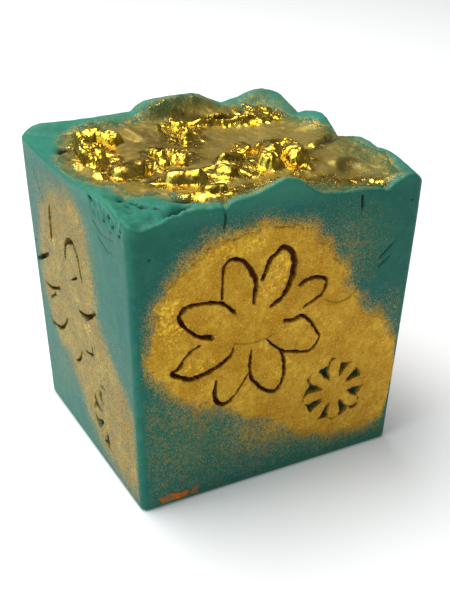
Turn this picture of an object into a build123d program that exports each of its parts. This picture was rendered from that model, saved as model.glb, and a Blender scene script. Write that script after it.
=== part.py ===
from build123d import *
import os
from math import cos, exp, radians, sin, sqrt

os.makedirs("parts", exist_ok=True)

# A cast soap block, in millimetres. It stands on Z = 0, with its origin under the middle of its base.
# The front wall faces -Y, the right wall +X, the back wall +Y and the left wall -X.

# --- the casting ---
width = 64.0  # along X, across the top
depth = 58.0  # along Y, across the top
height = 63.0  # from the base to the rim at the corners
draft = 2.4  # how far each wall leans in by the time it reaches the base
edge_round = 1.6  # rounding of the four upright edges
base_round = 0.9  # rounding round the base
stock_above = 8.0  # how much taller the stock is than the rim, before the top is torn off it

# --- the daisy cutters ---
groove_width = 0.6  # the wall of the large cutter
groove_depth = 1.5  # measured square to the wall
spoke_inner = 5.5  # the cutter's petals pinch together along spokes, between these two radii
spoke_outer = 9.6
petal_half_width = 3.4
small_petal_half_width = 1.55
small_reach = 7.3
small_recess_radius = 8.0
small_recess_depth = 1.2

# --- the gold ---
dust_thickness = 0.14
dust_margin = 2.0  # the dust keeps this far from the upright edges
dust_top = 59.5  # and below this height
dust_foot = 1.5
skin_thickness = 0.3
lump_root = 1.5  # how far a lump's sides are drawn down before the skin trims them
smear_centre = (-21.3, 2.3)
smear_size = (5.2, 1.1)  # half length and half height of the copper smear

# Humps (+) and hollows (-) of the poured top: X, Y, height, length, breadth, and the angle of the length.
# Length and breadth are the bell curve's own, about a third of what the eye takes for the hump's size.
top_relief = [
    (8.5, 27.5, 3.8, 10.5, 2.4, 2),  # rear ridge, a lip of soap that curled forward
    (28.0, 26.0, 2.8, 4.2, 3.4, 0),  # rear right corner
    (-31.5, 28.5, -2.6, 4.0, 4.0, 0),  # worn rear left corner
    (31.5, 12.5, 1.9, 2.6, 2.0, 90),  # knob on the right rim
    (31.5, 4.0, -2.0, 3.4, 3.0, 90),
    (31.0, -27.0, -1.8, 4.0, 3.0, 0),
    (1.5, -28.5, 3.4, 5.0, 3.2, 0),  # peak on the front rim
    (-11.0, -28.0, -1.2, 2.4, 3.0, 0),  # where the front rim cracked
    (-27.5, -29.0, -1.6, 4.0, 3.4, 0),  # torn front lip
    (12.0, 5.0, -2.6, 13.0, 8.0, 0),  # main hollow
    (-20.0, 10.0, -2.2, 9.0, 5.5, 80),  # left hollow
    (-31.5, 2.0, -1.0, 8.0, 2.4, 90),  # dip in the left rim
    (10.0, -12.0, 1.6, 8.0, 4.0, 10),  # swell under the middle crumple
    (-7.0, -9.0, 0.9, 7.0, 4.0, 0),
    (23.0, -7.0, 1.0, 5.0, 2.4, 20),
]
grid_step = 2.0
grid_margin = 2.0

# The gold skin ends in a wavering line a little inside the rim; these are its corners, anticlockwise.
skin_outline = [
    (28.5, -20.0),
    (30.0, 8.0),
    (28.5, 22.5),
    (20.0, 26.5),
    (-4.0, 25.5),
    (-16.0, 26.5),
    (-26.0, 24.0),
    (-27.5, 13.0),
    (-30.5, 2.0),
    (-29.0, -16.0),
    (-18.0, -22.5),
    (-6.0, -25.0),
    (8.0, -25.5),
    (20.0, -25.0),
]

# Lumps that stand on the skin: X, Y, half length, half breadth, rise above the skin, angle of the length.
gold_lumps = {
    "gold_crumple_left": [(-20.5, 13.0, 7.0, 3.0, 2.0, 110), (-16.5, 18.5, 4.5, 2.6, 1.8, 0)],
    "gold_pool_left": [(-20.0, -3.0, 5.2, 3.4, 1.8, 0)],
    "gold_crumple_centre": [(7.5, -8.0, 5.5, 3.4, 2.6, 20), (13.5, -8.5, 4.0, 3.0, 2.2, -20)],
    "gold_crumple_rear": [(10.0, 21.0, 6.0, 1.8, 1.0, 0), (19.5, 20.5, 4.5, 2.6, 1.6, 0)],
    "gold_nuggets_middle": [
        (-12.0, 1.5, 2.4, 1.6, 1.5, 40),
        (-7.5, 0.0, 2.0, 1.5, 1.6, 110),
        (-3.5, 2.5, 1.8, 1.4, 1.3, 0),
        (-10.5, 7.0, 1.6, 1.1, 1.0, 150),
        (-6.5, 17.5, 2.2, 1.6, 1.7, 60),
        (-2.0, 15.0, 1.8, 1.4, 1.4, 20),
        (-1.5, 20.0, 1.5, 1.2, 1.2, 100),
    ],
    "gold_nuggets_front": [
        (-11.5, -10.5, 3.4, 2.3, 2.0, 5),
        (-3.5, -15.5, 2.4, 1.5, 1.2, 15),
        (0.5, -7.5, 2.6, 1.7, 1.3, 20),
        (22.0, -14.5, 2.8, 1.4, 1.0, 30),
    ],
}

# --- the walls ---
wall_angles = {"front": -90, "right": 0, "back": 90, "left": 180}

# For each wall: the large daisy's centre (along the wall, up the wall) and its petals as (angle, reach), then
# the small daisy's centre and turn, and the dusted discs as (along, up, radius).
wall_designs = {
    "front": {
        "daisy": (-6.2, 37.2),
        "petals": [(107.5, 16.5), (65.5, 17.1), (23.3, 17.5), (-25, 16.7)]
        + [(-69, 17.4), (-111, 17.4), (-158.2, 17.9), (156.4, 17.3)],
        "small": (14.3, 17.0),
        "turn": 0,
        "dust": [(-5.5, 37.0, 21.5), (15.5, 19.5, 12.5)],
    },
    "left": {
        "daisy": (-8.0, 36.5),
        "petals": [(angle, 17.0) for angle in range(18, 360, 45)],
        "small": (11.0, 13.0),
        "turn": 12,
        "dust": [(-6.5, 36.5, 19.5), (11.5, 14.0, 12.0)],
    },
    "right": {
        "daisy": (-7.0, 37.5),
        "petals": [(angle, 17.0) for angle in range(6, 360, 45)],
        "small": (12.0, 15.5),
        "turn": 30,
        "dust": [(-6.0, 37.0, 19.5), (12.5, 17.0, 12.0)],
    },
    "back": {
        "daisy": (-7.5, 36.0),
        "petals": [(angle, 17.0) for angle in range(30, 360, 45)],
        "small": (14.0, 15.0),
        "turn": 5,
        "dust": [(-7.0, 36.0, 20.5), (15.0, 17.0, 12.5)],
    },
}


def wall_plane(angle):
    """The wall that faces this way: origin at its foot, X along it, Y up it, Z out of it."""
    half_span = depth / 2 if angle in (-90, 90) else width / 2
    lean = sqrt(height**2 + draft**2)
    outward = (cos(radians(angle)), sin(radians(angle)))
    foot = Vector(outward[0], outward[1], 0) * (half_span - draft)
    normal = Vector(outward[0] * height, outward[1] * height, -draft) / lean
    return Plane(origin=foot, x_dir=(-outward[1], outward[0], 0), z_dir=normal)


def top_height(x, y):
    """Height of the poured top over a point of the base."""
    z = height
    for hump_x, hump_y, rise, length, breadth, angle in top_relief:
        along = (x - hump_x) * cos(radians(angle)) + (y - hump_y) * sin(radians(angle))
        across = (y - hump_y) * cos(radians(angle)) - (x - hump_x) * sin(radians(angle))
        z += rise * exp(-0.5 * ((along / length) ** 2 + (across / breadth) ** 2))
    return z


def top_surface(lift=0.0):
    """The poured top as one smooth face that reaches past the walls, raised by lift."""
    columns = int((width / 2 + grid_margin) / grid_step)
    rows = int((depth / 2 + grid_margin) / grid_step)
    points = []
    for i in range(-columns, columns + 1):
        x = i * grid_step
        points.append([(x, j * grid_step, top_height(x, j * grid_step) + lift) for j in range(-rows, rows + 1)])
    return Face.make_surface_from_array_of_points(points, tol=0.01)


def petal_outline(petals, half_width, grow=0.0):
    """Round-ended petals joined at the middle, made larger all round by grow."""
    with BuildSketch() as outline:
        for angle, reach in petals:
            # Each slot starts a petal's half width behind the middle, so that together they fill it.
            with PolarLocations((reach - half_width) / 2, 1, start_angle=angle):
                SlotOverall(reach + half_width + 2 * grow, 2 * (half_width + grow))
    return outline.sketch


def spoke_outline(petals):
    """The cutter's spokes, each midway between two neighbouring petals."""
    with BuildSketch() as outline:
        for index, (angle, reach) in enumerate(petals):
            turn = (petals[index - 1][0] - angle + 180) % 360 - 180
            with PolarLocations((spoke_inner + spoke_outer) / 2, 1, start_angle=angle + turn / 2):
                Rectangle(spoke_outer - spoke_inner, groove_width)
    return outline.sketch


def small_petals(turn):
    return [(turn + 45 * index, small_reach) for index in range(8)]


poured_top = top_surface()

# --- soap_block: the casting, its torn top and the cutters' marks ---
with BuildPart() as soap_block:
    with BuildSketch(Plane.XY):
        RectangleRounded(width - 2 * draft, depth - 2 * draft, edge_round)
    with BuildSketch(Plane.XY.offset(height)) as rim:
        RectangleRounded(width, depth, edge_round)
    loft()
    base_edges = soap_block.edges().group_by(Axis.Z)[0]
    chamfer(base_edges, base_round)
    extrude(rim.sketch, amount=stock_above)
    extrude(poured_top, amount=2 * stock_above, dir=(0, 0, 1), mode=Mode.SUBTRACT)
    for name, angle in wall_angles.items():
        design = wall_designs[name]
        with BuildSketch(wall_plane(angle)):
            with Locations(design["daisy"]):
                add(petal_outline(design["petals"], petal_half_width, groove_width / 2))
                add(petal_outline(design["petals"], petal_half_width, -groove_width / 2), mode=Mode.SUBTRACT)
                add(spoke_outline(design["petals"]))
        extrude(amount=-groove_depth, mode=Mode.SUBTRACT)
        with BuildSketch(wall_plane(angle)):
            with Locations(design["small"]):
                Circle(small_recess_radius)
                add(petal_outline(small_petals(design["turn"]), small_petal_half_width), mode=Mode.SUBTRACT)
        extrude(amount=-small_recess_depth, mode=Mode.SUBTRACT)
soap_block.part.label = "soap_block"
export_step(soap_block.part, "parts/soap_block.step")

# --- gold_top_skin: set mica and oil over the poured top ---
with BuildPart() as gold_top_skin:
    extrude(poured_top, amount=skin_thickness, dir=(0, 0, 1))
    with BuildSketch(Plane.XY):
        with BuildLine():
            Spline(*skin_outline, periodic=True)
        make_face()
    extrude(amount=2 * height, mode=Mode.INTERSECT)
gold_top_skin.part.label = "gold_top_skin"
export_step(gold_top_skin.part, "parts/gold_top_skin.step")

# --- the gold lumps, each trimmed to sit on the skin ---
skin_surface = top_surface(skin_thickness)
for name, lumps in gold_lumps.items():
    with BuildPart() as gold:
        for x, y, half_length, half_breadth, rise, angle in lumps:
            foot = top_height(x, y) + skin_thickness
            for level, share in ((-lump_root, 1.0), (0.45 * rise, 0.86), (rise, 0.35)):
                with BuildSketch(Plane((x, y, foot + level))):
                    Ellipse(share * half_length, share * half_breadth, rotation=angle)
            loft()
        extrude(skin_surface, amount=2 * stock_above, dir=(0, 0, -1), mode=Mode.SUBTRACT)
    gold.part.label = name
    export_step(gold.part, f"parts/{name}.step")

# --- the pressed mica on each wall, parted by the cutters ---
for wall, angle in wall_angles.items():
    design = wall_designs[wall]
    plane = wall_plane(angle)
    wall_span = width if angle in (-90, 90) else depth
    foot_half = wall_span / 2 - draft - dust_margin
    top_half = wall_span / 2 - dust_margin

    with BuildPart() as dust_field:
        with BuildSketch(plane):
            for along, up, radius in design["dust"]:
                with Locations((along, up)):
                    Circle(radius)
            Polygon(
                (-foot_half, dust_foot),
                (foot_half, dust_foot),
                (top_half, dust_top),
                (-top_half, dust_top),
                align=None,
                mode=Mode.INTERSECT,
            )
            with Locations(design["daisy"]):
                add(petal_outline(design["petals"], petal_half_width, groove_width / 2), mode=Mode.SUBTRACT)
            with Locations(design["small"]):
                Circle(small_recess_radius, mode=Mode.SUBTRACT)
        extrude(amount=dust_thickness)
    dust_field.part.label = f"{wall}_dust_field"
    export_step(dust_field.part, f"parts/{wall}_dust_field.step")

    with BuildPart() as daisy_gilding:
        with BuildSketch(plane):
            with Locations(design["daisy"]):
                add(petal_outline(design["petals"], petal_half_width, -groove_width / 2))
                add(spoke_outline(design["petals"]), mode=Mode.SUBTRACT)
        extrude(amount=dust_thickness)
    daisy_gilding.part.label = f"{wall}_daisy_gilding"
    export_step(daisy_gilding.part, f"parts/{wall}_daisy_gilding.step")

    with BuildPart() as small_gilding:
        with BuildSketch(plane):
            with Locations(design["small"]):
                add(petal_outline(small_petals(design["turn"]), small_petal_half_width))
        extrude(amount=dust_thickness)
    small_gilding.part.label = f"{wall}_small_daisy_gilding"
    export_step(small_gilding.part, f"parts/{wall}_small_daisy_gilding.step")

# --- copper_smear: a smear of copper mica along the foot of the front wall ---
with BuildPart() as copper_smear:
    with BuildSketch(wall_plane(wall_angles["front"])):
        with Locations(smear_centre):
            Ellipse(*smear_size)
    extrude(amount=dust_thickness)
copper_smear.part.label = "copper_smear"
export_step(copper_smear.part, "parts/copper_smear.step")
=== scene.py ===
"""A handmade soap block: teal, cast in a drafted mould, with a torn top under gold mica, and daisies
pressed through gold powder into its walls.

Lengths are in millimetres until a mesh is made. Each wall has its own flat frame: along, from the wall's
left edge as seen from outside, and up, the height over the base.
"""
import math

import bpy
import numpy as np
from mathutils import Matrix, Vector
from mathutils.geometry import delaunay_2d_cdt


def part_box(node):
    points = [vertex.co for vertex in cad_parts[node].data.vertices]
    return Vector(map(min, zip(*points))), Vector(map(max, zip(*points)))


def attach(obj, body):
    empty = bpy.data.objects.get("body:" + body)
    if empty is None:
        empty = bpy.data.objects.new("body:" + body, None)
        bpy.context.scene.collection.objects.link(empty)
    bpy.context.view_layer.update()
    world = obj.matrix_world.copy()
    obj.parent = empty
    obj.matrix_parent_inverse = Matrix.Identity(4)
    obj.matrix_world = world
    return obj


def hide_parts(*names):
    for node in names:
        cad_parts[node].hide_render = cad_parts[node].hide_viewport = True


MM = 0.001

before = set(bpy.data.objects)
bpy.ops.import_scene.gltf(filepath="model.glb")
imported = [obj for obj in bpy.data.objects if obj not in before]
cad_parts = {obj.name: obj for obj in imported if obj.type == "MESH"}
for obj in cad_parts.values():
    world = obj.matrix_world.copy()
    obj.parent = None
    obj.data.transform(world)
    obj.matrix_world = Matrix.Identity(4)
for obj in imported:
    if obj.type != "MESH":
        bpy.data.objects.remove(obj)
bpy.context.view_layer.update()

# ---------------------------------------------------------------- the block, as part.py makes it
block_low, block_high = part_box("soap_block")
HALF_X = (block_high.x - block_low.x) / 2 / MM
HALF_Y = (block_high.y - block_low.y) / 2 / MM
HEIGHT = 63.0  # base to rim at the corners
DRAFT = 2.4  # how far each wall leans in by the time it reaches the base
CORNER = 1.6  # rounding of the upright edges
WORN = 0.5  # how much wider handling has made it at the rim
BASE_ROUND = 0.9
RIM_ROUND = 0.7

WALLS = ("front", "right", "back", "left")  # in order round the block, anticlockwise from above
SPAN = {"front": 2 * HALF_X, "right": 2 * HALF_Y, "back": 2 * HALF_X, "left": 2 * HALF_Y}

# Humps and hollows of the poured top: X, Y, height, length, breadth, angle of the length in degrees.
TOP_RELIEF = [
    (8.0, 30.0, 2.4, 8.5, 3.0, -4),
    (27.5, 28.5, 2.2, 4.6, 4.0, 0),
    (29.3, 9.6, 1.9, 2.0, 2.4, 0),
    (-24.0, -24.0, -0.5, 4.0, 4.0, 0),
    (12.0, 7.0, -2.4, 11.0, 8.0, 0),
    (11.0, 18.0, -0.9, 6.0, 3.0, -20),
    (20.0, -24.0, -1.6, 8.0, 5.0, 0),
    (-20.0, 6.0, -1.4, 5.0, 8.0, 0),
    (10.0, -12.0, 1.2, 8.0, 4.0, 10),
    (-2.5, -10.5, 1.3, 3.2, 2.2, -20),
    (24.0, -4.0, 0.8, 5.0, 4.0, 20),
]
# Folds of the top: rise (below 0 for a trench), width left and right of the path, path (X, Y).
TOP_FOLDS = [
    (0.7, 3.6, 0.8, [(-4.2, 27.6), (2.0, 25.8), (6.0, 24.8), (11.0, 22.6), (16.5, 21.2)]),
    (-0.8, 0.6, 1.0, [(2.0, 24.4), (2.5, 24.2), (6.5, 23.0), (11.5, 20.8), (16.0, 19.8)]),
    (0.9, 0.9, 0.8, [(4.6, 20.8), (10.0, 19.8), (15.0, 18.8), (20.0, 18.0)]),
    (1.5, 2.0, 6.0, [(-13.5, 18.0), (-8.0, 20.0), (-2.5, 17.6)]),
    (-1.5, 0.7, 1.0, [(-13.4, 8.6), (-9.5, 7.4), (-6.0, 7.6)]),
    (-2.2, 0.6, 0.6, [(-14.0, 1.5), (-15.8, -3.0), (-17.9, -7.2)]),
    (0.9, 0.6, 0.7, [(-12.4, 0.8), (-14.2, -3.4), (-15.8, -6.6)]),
    (-1.4, 0.7, 0.7, [(-19.4, 17.6), (-18.6, 13.0)]),
    (1.0, 1.0, 1.4, [(-29.5, 9.0), (-26.8, 2.0), (-26.2, -4.5)]),
    (-1.0, 0.8, 0.8, [(-27.8, 10.0), (-25.8, 4.5), (-24.6, -1.0)]),
    (-1.2, 0.8, 1.2, [(0.0, -6.0), (3.0, -9.0), (4.0, -12.5)]),
    (0.9, 1.6, 0.6, [(13.3, 2.6), (17.0, 4.6), (19.6, 5.6)]),
    (-0.5, 0.6, 0.6, [(14.0, 1.4), (17.8, 3.2), (20.4, 4.4)]),
    (1.0, 2.6, 0.9, [(17.6, -8.4), (22.3, -5.4), (27.2, -1.6)]),
    (-0.4, 0.6, 1.0, [(18.4, -9.6), (22.8, -6.8), (27.4, -3.2)]),
    (0.6, 0.6, 1.4, [(21.0, -9.4), (25.2, -10.3), (28.4, -12.4)]),
    (-0.7, 1.6, 2.4, [(17.6, -20.4), (20.4, -18.6), (23.4, -17.4)]),
    (0.9, 1.4, 1.0, [(17.0, -18.0), (20.0, -16.0), (24.0, -15.6)]),
]
# Holes in the top, near the near corner: X, Y, half length, half breadth, angle, depth.
TOP_HOLES = [
    (-16.4, -21.2, 2.3, 0.8, -25, 2.0), (-21.0, -25.6, 1.9, 1.1, 40, 2.0),
    (-18.6, -24.0, 0.9, 0.7, 0, 1.2), (-27.5, -16.4, 0.9, 0.5, 35, 1.1),
    (-26.2, -18.9, 0.5, 0.45, 0, 0.9), (-25.2, -20.6, 0.75, 0.5, -20, 1.0),
    (-28.6, -22.6, 0.5, 0.4, 0, 0.7), (-23.4, -22.4, 0.45, 0.4, 0, 0.7),
    (-27.8, -20.2, 0.4, 0.35, 0, 0.6), (-27.0, 16.0, 1.6, 0.9, 60, 1.1),
]
# The rim of each wall: along, height.
RIM_LINE = {
    "front": [
        (0, 62.4), (2.5, 61.8), (5, 62.3), (7.5, 63.2), (10, 64), (12.5, 64.1), (15, 63.6), (18.4, 63.4),
        (19, 62.6), (19.8, 63.8), (22, 64.4), (25, 64.6), (28, 65.5), (31.5, 66.8), (34, 66.3),
        (36, 65.2), (38, 63.5), (40, 62.5), (45, 61.8), (50, 61.6), (54, 61), (55.3, 60.4), (57, 61.6),
        (60, 63), (62, 63), (64, 61),
    ],
    "right": [
        (0, 61.2), (2.6, 61.9), (5.3, 62.5), (8, 63.1), (11, 63.6), (13.5, 63.6), (16.3, 63.2),
        (19, 63.7), (22, 63.7), (25, 63.1), (28, 62.2), (31, 61.5), (34.4, 63.4), (36, 64.4), (38, 64.9),
        (41, 64.6), (44.4, 63.7), (47.8, 62.4), (51.4, 63.3), (55.2, 64.4), (58, 65.1),
    ],
    "back": [
        (0, 65.1), (2, 65.7), (4, 66.2), (6, 66.2), (8.4, 65.7), (10.5, 64.9), (12.6, 64.6), (15, 64.1),
        (17, 64.9), (19, 65.8), (21, 66.8), (23, 67.3), (29, 67.3), (35, 67), (37, 66.1), (38.5, 64.9),
        (48, 64.7), (56, 64.8), (60, 65), (62, 64.6), (64, 63.4),
    ],
    "left": [
        (0, 63.4), (4, 63), (10, 62.4), (20, 62.3), (30, 62.5), (35, 63), (40, 63.6), (45, 64.2),
        (50, 63.8), (55, 63), (58, 62.4),
    ],
}


# ---------------------------------------------------------------- noise and distance
def lattice(i, j, seed):
    """A repeatable number from 0 to 1 for each whole-numbered point."""
    h = np.sin(i * 127.1 + j * 311.7 + seed * 74.7) * 43758.5453
    return h - np.floor(h)


def noise(x, y, size, seed):
    """Smooth noise from -1 to 1 whose bumps are about size across."""
    u, v = np.asarray(x, float) / size + 100, np.asarray(y, float) / size + 100
    i, j = np.floor(u), np.floor(v)
    fu, fv = u - i, v - j
    fu, fv = fu * fu * (3 - 2 * fu), fv * fv * (3 - 2 * fv)
    low = lattice(i, j, seed) * (1 - fu) + lattice(i + 1, j, seed) * fu
    high = lattice(i, j + 1, seed) * (1 - fu) + lattice(i + 1, j + 1, seed) * fu
    return 2 * (low * (1 - fv) + high * fv) - 1


def rough(x, y, size, seed, octaves=3):
    """Noise at several sizes, each half as large and half as strong as the one before."""
    return sum(noise(x, y, size / 2**k, seed + 7 * k) / 2**k for k in range(octaves))


def creased(x, y, size, seed, octaves=3):
    """Noise with sharp ridges, as in crumpled foil, from about 0 to 2."""
    return sum((1 - abs(noise(x, y, size / 2**k, seed + 7 * k))) ** 2 / 2**k for k in range(octaves))


def smooth(low, high, value):
    """0 below low, 1 above high, and a smooth step between."""
    t = np.clip((value - low) / (high - low), 0, 1)
    return t * t * (3 - 2 * t)


def bell(x, y, cx, cy, length, breadth, angle=0.0):
    """A rounded hump, 1 at its middle, which fades over length and breadth."""
    a = math.radians(angle)
    along = (x - cx) * math.cos(a) + (y - cy) * math.sin(a)
    across = (y - cy) * math.cos(a) - (x - cx) * math.sin(a)
    return np.exp(-0.5 * ((along / length) ** 2 + (across / breadth) ** 2))


def curve_through(points, per_span=8):
    """A smooth (Catmull-Rom) curve through points. Columns after X and Y, such as widths, follow along."""
    p = np.array(points, float)
    p = np.vstack([2 * p[0] - p[1], p, 2 * p[-1] - p[-2]])
    out = []
    for k in range(1, len(p) - 2):
        t = np.linspace(0, 1, per_span, endpoint=False)[:, None]
        a, b, c, d = p[k - 1], p[k], p[k + 1], p[k + 2]
        bend = (2 * a - 5 * b + 4 * c - d) * t**2
        twist = (3 * b - a - 3 * c + d) * t**3
        out.append(0.5 * (2 * b + (c - a) * t + bend + twist))
    out.append(p[-2][None])
    return np.vstack(out)


def stroke_distance(x, y, strokes):
    """Distance from each point to the edge of the nearest stroke: below 0 inside it.
    A stroke is rows of (x, y, width)."""
    best = np.full(np.shape(x), 99.0)
    for stroke in strokes:
        for (ax, ay, aw), (bx, by, bw) in zip(stroke[:-1], stroke[1:]):
            dx, dy = bx - ax, by - ay
            t = np.clip(((x - ax) * dx + (y - ay) * dy) / max(dx * dx + dy * dy, 1e-9), 0, 1)
            gap = np.hypot(x - ax - t * dx, y - ay - t * dy) - (aw + (bw - aw) * t) / 2
            best = np.minimum(best, gap)
    return best


def fold(x, y, rise, left, right, path):
    """A ridge or a trench along a path of (x, y), with its own width on each side, fading at its ends."""
    best = np.full(np.shape(x), 99.0)
    side = np.ones(np.shape(x))
    run = np.zeros(np.shape(x))
    start = 0.0
    for (ax, ay), (bx, by) in zip(path[:-1], path[1:]):
        dx, dy = bx - ax, by - ay
        length = math.hypot(dx, dy)
        t = np.clip(((x - ax) * dx + (y - ay) * dy) / length**2, 0, 1)
        gap = np.hypot(x - ax - t * dx, y - ay - t * dy)
        closer = gap < best
        side = np.where(closer, dx * (y - ay) - dy * (x - ax), side)
        run = np.where(closer, start + t * length, run)
        best = np.where(closer, gap, best)
        start += length
    width = np.where(side > 0, left, right)
    return rise * np.exp(-((best / width) ** 2)) * smooth(0, 2, run) * smooth(0, 2, start - run)


# ---------------------------------------------------------------- meshes
def triangulate(points):
    """Delaunay triangles over flat points: the points as triangulated, and index triples into them."""
    verts, _, faces, _, _, _ = delaunay_2d_cdt([Vector(p) for p in points], [], [], 0, 1e-6)
    return np.array([tuple(v) for v in verts]), np.array([f for f in faces if len(f) == 3])


def add_mesh(name, points, faces, material, attributes, skirt=0):
    """One finished piece from points in mm, riding the root, in place of the CAD node of its name. It is
    smooth shaded but for the last skirt faces."""
    mesh = bpy.data.meshes.new(name)
    mesh.from_pydata((np.asarray(points) * MM).tolist(), [], [list(map(int, f)) for f in faces])
    for key, values in attributes.items():
        attribute = mesh.attributes.new(key, "FLOAT", "POINT")
        attribute.data.foreach_set("value", np.asarray(values, np.float32))
    mesh.shade_smooth()
    for face in mesh.polygons[len(mesh.polygons) - skirt:]:
        face.use_smooth = False
    mesh.materials.append(material)
    obj = bpy.data.objects.new(name, mesh)
    bpy.context.scene.collection.objects.link(obj)
    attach(obj, "root")
    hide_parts(name)
    return obj


def closed_sheet(flat, longest, keep, upper, lower):
    """A closed thin solid over the triangles of flat, none longer than longest, whose middles keep says
    yes to. upper and lower place flat points in space. Gives points, faces, the flat points of the upper
    side, and how many faces at the end are its skirt."""
    flat, tris = triangulate(flat)
    corners = flat[tris]
    sides = np.linalg.norm(corners - np.roll(corners, 1, axis=1), axis=2).max(1)
    tris = tris[sides < longest]
    tris = tris[keep(*flat[tris].mean(1).T)]
    used, tris = np.unique(tris, return_inverse=True)
    tris = tris.reshape(-1, 3)
    flat = flat[used]
    n = len(flat)
    edges = np.vstack([tris[:, [0, 1]], tris[:, [1, 2]], tris[:, [2, 0]]])
    key = edges[:, 0] * n + edges[:, 1]
    border = edges[~np.isin(edges[:, 1] * n + edges[:, 0], key)]
    skirt = np.column_stack([border[:, 1], border[:, 0], border[:, 0] + n, border[:, 1] + n])
    points = np.vstack([upper(*flat.T), lower(*flat.T)])
    return points, [*tris, *(tris[:, ::-1] + n), *skirt], flat, len(skirt)


def scatter(low, high, step, seed):
    """A jittered grid of flat points over a rectangle."""
    columns_at = np.arange(low[0], high[0] + step, step)
    rows_at = np.arange(low[1], high[1] + step, step * 0.87)
    x, y = np.meshgrid(columns_at, rows_at)
    x = x + (np.arange(len(x))[:, None] % 2) * step / 2
    x = x + (lattice(x, y, seed) - 0.5) * step * 0.5
    y = y + (lattice(x, y, seed + 1) - 0.5) * step * 0.5
    return np.column_stack([x.ravel(), y.ravel()])


def stroke_rows(strokes, offsets, spacing):
    """Points along both sides of each stroke, at these distances from its edges."""
    out = []
    for stroke in strokes:
        step = np.hypot(*np.diff(stroke[:, :2], axis=0).T)
        run = np.concatenate([[0], np.cumsum(step)])
        t = np.linspace(0, run[-1], max(int(run[-1] / spacing), 2))
        x, y, w = (np.interp(t, run, stroke[:, k]) for k in range(3))
        dx, dy = np.gradient(x), np.gradient(y)
        size = np.maximum(np.hypot(dx, dy), 1e-9)
        nx, ny = -dy / size, dx / size
        for gap in offsets:
            reach = w / 2 + gap
            for side in (-1, 1):
                out.append(np.column_stack([x + side * nx * reach, y + side * ny * reach])[reach > 0])
        out.append(np.column_stack([x, y]))
    return np.vstack(out)


# ---------------------------------------------------------------- the daisies
# The front wall's large daisy: each petal of the cutter as (along, up, groove width), as it was pressed.
FRONT_PETALS = [
    [(18.9, 45, 0.4), (18.9, 50.5, 0.4), (20, 52.7, 0.5), (22.5, 52.3, 0.5), (24.4, 50.3, 0.8),
     (26, 47, 0.9), (25.8, 42.7, 0.6)],
    [(27.5, 47.3, 0.7), (28.8, 50.7, 0.7), (30.5, 52.3, 0.7), (31.8, 53, 0.7), (33.8, 51.5, 1.0),
     (34.3, 48.5, 1.3), (33.6, 45.5, 1.2), (32, 42.5, 0.8), (29.7, 41, 0.5)],
    [(35.8, 44.2, 0.5), (37.5, 45, 0.5), (39.5, 45.2, 0.5), (41.8, 44.2, 0.5), (41.9, 42.7, 0.5),
     (41, 41, 0.3), (40, 40.5, 0.2), (37, 39, 0.15)],
    [(33, 37, 0.5), (35, 36.8, 0.6), (36.8, 37.2, 0.5), (39, 35.2, 0.4), (40.8, 32.5, 0.35),
     (41.3, 31, 0.35), (40.3, 29.2, 0.35), (38.5, 28.5, 0.3), (35.5, 29.3, 0.3), (32.7, 30.2, 0.3),
     (30.3, 32.3, 0.3), (29, 33.8, 0.25)],
    [(32.5, 30.2, 0.5), (33.4, 27, 0.6), (33.4, 24, 0.6), (32.5, 21.8, 0.6), (31, 21, 0.6),
     (29, 22, 0.55), (27, 24.2, 0.5), (25.6, 26.7, 0.5), (25.6, 32, 0.35)],
    [(25.4, 27.2, 0.25), (24, 25, 0.25), (22.5, 22.8, 0.25), (20.5, 21.2, 0.5), (18.7, 21.8, 0.9),
     (17.9, 24, 0.9), (18.1, 27, 0.5)],
    [(21.7, 33.5, 0.4), (20.9, 32, 0.6), (19.3, 30.8, 0.6), (17.5, 30, 0.6), (15, 29.3, 0.6),
     (12.5, 29.1, 0.6), (10.5, 30, 0.7), (8.7, 31.2, 0.9), (10.2, 32.3, 0.5), (11.2, 34, 0.35),
     (12.5, 35.2, 0.35), (14.3, 36, 0.35)],
    [(16.8, 37.2, 1.1), (14.5, 37.8, 0.6), (12.5, 39.3, 0.5), (11, 41, 0.6), (10, 43, 0.8),
     (10.5, 44.2, 0.8), (12, 45, 0.5), (14.5, 45, 0.45), (17, 44.6, 0.45), (19, 43.9, 0.45),
     (21.7, 41.5, 0.3)],
]
# The left wall's large daisy was pressed through thicker powder, so that only parts of it cut the soap.
LEFT_PETALS = [
    [(15.3, 45.0, 0.9), (15.7, 47.6, 1.4), (16.0, 50.0, 1.4), (16.4, 52.2, 0.8)],
    [(23.4, 43.4, 0.7), (23.7, 45.8, 1.0), (25.4, 47.9, 1.1), (28.4, 48.6, 1.1), (30.6, 47, 1.0),
     (31.6, 44.2, 0.9), (32.2, 41.8, 0.5)],
    [(26, 39.5, 0.3), (29, 41, 0.5)],
    [(29, 33.5, 0.5), (33, 34, 1.2), (35.5, 35.3, 1.0), (38, 37, 0.6)],
    [(4, 35.5, 0.5), (8, 37.5, 1.1), (12, 39.7, 0.7)],
    [(8, 31, 0.4), (12, 31.5, 0.7), (17.5, 33.8, 0.5)],
    [(10.5, 28.5, 0.3), (14, 31, 0.5)],
    [(10, 22, 0.4), (15, 23, 0.7), (18.5, 25.5, 0.7), (20.5, 27.8, 0.4)],
    [(31, 25, 0.4), (34.5, 26, 0.6), (35, 28, 0.4)],
    [(24, 19.2, 0.5), (26.5, 21, 0.6), (28, 23.5, 0.3)],
]
LARGE_REACH = 17.0
PETAL_HALF_WIDTH = 3.4
GROOVE_WIDTH = 0.6
SPOKE_FOOT = 5.5
GROOVE_DEPTH = 1.5
# Gold trodden into the grooves is painted dark brown, as gold looks in shade; bare grooves are painted near
# black: painted shade.
GROOVE_GILT = {"front": 1.0, "left": 0.35, "right": 1.0, "back": 1.0}  # gold trodden into the grooves


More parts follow.
